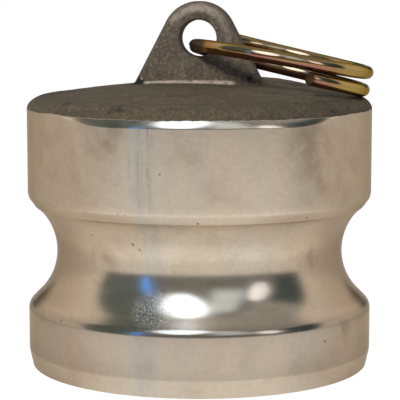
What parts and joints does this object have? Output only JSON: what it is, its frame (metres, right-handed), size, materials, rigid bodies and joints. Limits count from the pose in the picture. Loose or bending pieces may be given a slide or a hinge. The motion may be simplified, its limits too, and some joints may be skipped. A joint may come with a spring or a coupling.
{
  "type": "camlock dust plug",
  "caption": "Hollow cast dust plug with a turned cam groove, a crown with a lifting ear and a split ring through the ear.",
  "frame": {"origin": "centre of the open rim's face, which the plug stands on", "axes": "+Z along the body's axis to the crown, +X along the ear's plate to the side where the ring lies, +Y through the ear's hole to the back"},
  "size_m": [0.063, 0.0628, 0.0662],
  "materials": {
    "cast_aluminium": "turned satin below the crown, as cast on the crown and ear",
    "yellow_zinc_steel": "glossy yellow chromate over zinc on round wire"
  },
  "bodies": {
    "plug": {"plug_body": "cast_aluminium"},
    "ring": {"split_ring": "yellow_zinc_steel"}
  },
  "joints": [
    {"name": "ring_swing", "type": "hinge", "parent": "plug", "child": "ring", "pos_m": [-0.0007, 0, 0.05801], "axis": [0, -1, 0], "range_deg": [0, 165]}
  ]
}
